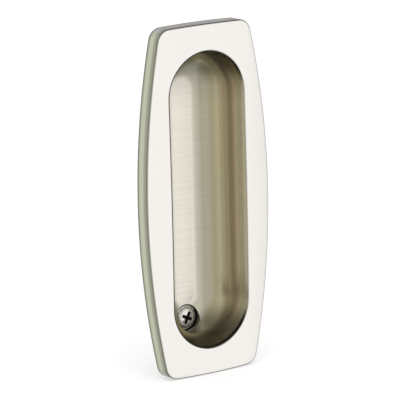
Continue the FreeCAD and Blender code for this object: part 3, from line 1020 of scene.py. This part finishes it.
def board_material(studio):
    """Boards that only the pull's metal sees: white, warm, brown and green, with dark gaps."""
    material, tree = blank_material("studio_boards")
    where = node(tree, "ShaderNodeTexCoord", (-1200, 0)).outputs["Object"]
    unit = node(
        tree, "ShaderNodeVectorMath", (-1000, 0), {0: where}, operation="NORMALIZE"
    ).outputs["Vector"]
    axes = node(tree, "ShaderNodeSeparateXYZ", (-800, 0), {"Vector": unit}).outputs
    ahead = product(tree, (-620, -100), axes["Y"], -1)
    turn = worked(tree, "ARCTAN2", (-440, 0), axes["X"], ahead)
    turn = worked(tree, "DEGREES", (-260, 0), turn)

    # Round the pull in degrees: behind, past its left side, ahead at 0 and past its right side.
    ring = stepped(
        tree, turn, (-180, 180), (-80, 0),
        (studio.white, (-180, 0.55)),
        (studio.green, (-168, 0.8), (-150, 1.0), (-134, 0.95)),
        (studio.dark, (-122, 1.0), (-104, 1.0)),
        (studio.brown, (-95, 0.9)),
        (studio.warm, (-84, 1.0), (-10, 1.0)),
        (studio.white, (0, 0.8), (6, 1.0), (44, 1.0), (52, 0.86), (64, 0.55), (80, 0.42)),
        (studio.dark, (100, 1.0), (128, 1.0)),
        (studio.white, (140, 0.42), (158, 0.42), (180, 0.55)),
    )
    # The boards end below, at -1, and above, at 1, except behind the pull.
    lid = stepped(
        tree, axes["Z"], (-1, 1), (-80, 300),
        (
            studio.white,
            (-1, 1.0), (-0.985, 0.90), (-0.93, 0.42), (-0.80, 0.40), (-0.56, 0.72), (-0.36, 1.0),
            (0.0, 1.0), (0.14, 0.96), (0.35, 0.84), (0.60, 0.56), (0.85, 0.30), (1, 0.26),
        ),
    )
    behind = ranged(tree, axes["Y"], (0.1, 0.5), (0, 1), (100, 500), smooth=True)
    open_back = mixed(tree, (300, 300), behind, lid, (1, 1, 1, 1))
    shade = mixed(tree, (550, 100), 1, ring, open_back, blend_type="MULTIPLY")
    glow = node(tree, "ShaderNodeEmission", (800, 100), {"Color": shade})
    node(tree, "ShaderNodeOutputMaterial", (1200, 0), {"Surface": glow.outputs["Emission"]})
    return material


def build_floor(context, studio):
    """A wide floor just under the pull's foot."""
    gap = 0.0001
    bm = bmesh.new()
    bmesh.ops.create_grid(bm, x_segments=1, y_segments=1, size=6)
    bmesh.ops.translate(bm, verts=bm.verts[:], vec=(0, 0, CAD_BOX[0][2] - gap))
    floor = to_object(context, bm, "studio_floor")
    floor.data.materials.append(floor_material(studio))
    floor.visible_glossy = False


def build_boards(context, studio):
    """The ring of boards, as one wide shell that only metal sees."""
    bm = bmesh.new()
    bmesh.ops.create_uvsphere(bm, u_segments=48, v_segments=24, radius=3)
    boards = to_object(context, bm, "studio_boards")
    boards.data.materials.append(board_material(studio))
    for ray in ("camera", "diffuse", "shadow", "transmission"):
        setattr(boards, f"visible_{ray}", False)


def build_lamp(context):
    """One large soft lamp over the pull, for its shadow on the floor."""
    lamp = bpy.data.lights.new("soft_lamp", "AREA")
    lamp.shape = "DISK"
    lamp.size = 1.6
    lamp.energy = 14
    holder = bpy.data.objects.new("soft_lamp", lamp)
    holder.location = (-0.4, -0.7, 1.7)
    holder.rotation_euler = (-holder.location).to_track_quat("-Z", "Y").to_euler()
    holder.visible_glossy = False
    context.scene.collection.objects.link(holder)


def build_camera(context, studio):
    """Stand the camera where the photograph's was, and roll it by the picture's lean."""
    picture_width = 400
    aside, down = 1.3 / studio.scale, 2.6 / studio.scale
    turn = -studio.azimuth
    lift = studio.elevation
    back = Vector((
        math.sin(turn) * math.cos(lift), -math.cos(turn) * math.cos(lift), math.sin(lift)
    ))
    right = Vector((math.cos(turn), math.sin(turn), 0))
    up = back.cross(right)
    leaning_right = right * math.cos(studio.roll) - up * math.sin(studio.roll)
    leaning_up = right * math.sin(studio.roll) + up * math.cos(studio.roll)
    camera = bpy.data.cameras.new("camera")
    camera.sensor_width = 36
    camera.lens = studio.scale * studio.distance / picture_width * camera.sensor_width
    camera.clip_start = 0.05
    camera.clip_end = 20
    holder = bpy.data.objects.new("camera", camera)
    aim = leaning_right * aside - leaning_up * down
    turned = Matrix((leaning_right, leaning_up, back)).transposed().to_4x4()
    holder.matrix_world = Matrix.Translation(back * studio.distance + aim) @ turned
    context.scene.collection.objects.link(holder)
    context.scene.camera = holder


# The add-on.


# A corner sharper than this is shaded as an edge.
SHARP = math.radians(32)


class PULL_OT_casting(bpy.types.Operator):
    """Build the casting: crowned plate, cup, relieved back and screw seat"""

    bl_idname = "door_pull.casting"
    bl_label = "Build Casting"

    def execute(self, context):
        scene = context.scene
        casting = build_casting(context, scene.pull_casting, scene.pull_screw)
        nickel = satin_nickel(scene.pull_finish, scene.pull_casting, scene.pull_screw)
        finish_piece(casting, nickel, "pull_plate", SHARP)
        return {"FINISHED"}


class PULL_OT_screw(bpy.types.Operator):
    """Build the oval-head screw and set it in its seat"""

    bl_idname = "door_pull.screw"
    bl_label = "Build Screw"

    def execute(self, context):
        scene = context.scene
        piece = build_screw(context, scene.pull_casting, scene.pull_screw)
        nickel = bright_nickel(scene.pull_finish, scene.pull_casting, scene.pull_screw)
        finish_piece(piece, nickel, "fixing_screw", SHARP)
        return {"FINISHED"}


class PULL_OT_studio(bpy.types.Operator):
    """Build the floor, the boards, the lamp and the camera"""

    bl_idname = "door_pull.studio"
    bl_label = "Build Studio"

    def execute(self, context):
        studio = context.scene.pull_studio
        build_world(context, studio)
        build_floor(context, studio)
        build_boards(context, studio)
        build_lamp(context)
        build_camera(context, studio)
        context.scene.view_settings.view_transform = "Standard"
        return {"FINISHED"}


class PULL_PT_panel(bpy.types.Panel):
    """The pull's steps, in the order that they are built"""

    bl_idname = "PULL_PT_panel"
    bl_label = "Pocket Door Pull"
    bl_space_type = "VIEW_3D"
    bl_region_type = "UI"
    bl_category = "Door Pull"

    def draw(self, context):
        for name in ("casting", "screw", "studio"):
            self.layout.operator(f"door_pull.{name}")


# The scene's settings by name, and every class in the order of registering.
SETTINGS = {
    "pull_casting": CastingSettings,
    "pull_screw": ScrewSettings,
    "pull_finish": FinishSettings,
    "pull_studio": StudioSettings,
}
CLASSES = (
    *SETTINGS.values(), PULL_OT_casting, PULL_OT_screw, PULL_OT_studio, PULL_PT_panel
)


def register():
    for item in CLASSES:
        bpy.utils.register_class(item)
    for name, group in SETTINGS.items():
        setattr(bpy.types.Scene, name, PointerProperty(type=group))


def unregister():
    for name in SETTINGS:
        delattr(bpy.types.Scene, name)
    for item in reversed(CLASSES):
        bpy.utils.unregister_class(item)


def main():
    register()
    bpy.ops.door_pull.casting()
    bpy.ops.door_pull.screw()
    bpy.ops.door_pull.studio()


if __name__ == "__main__":
    main()
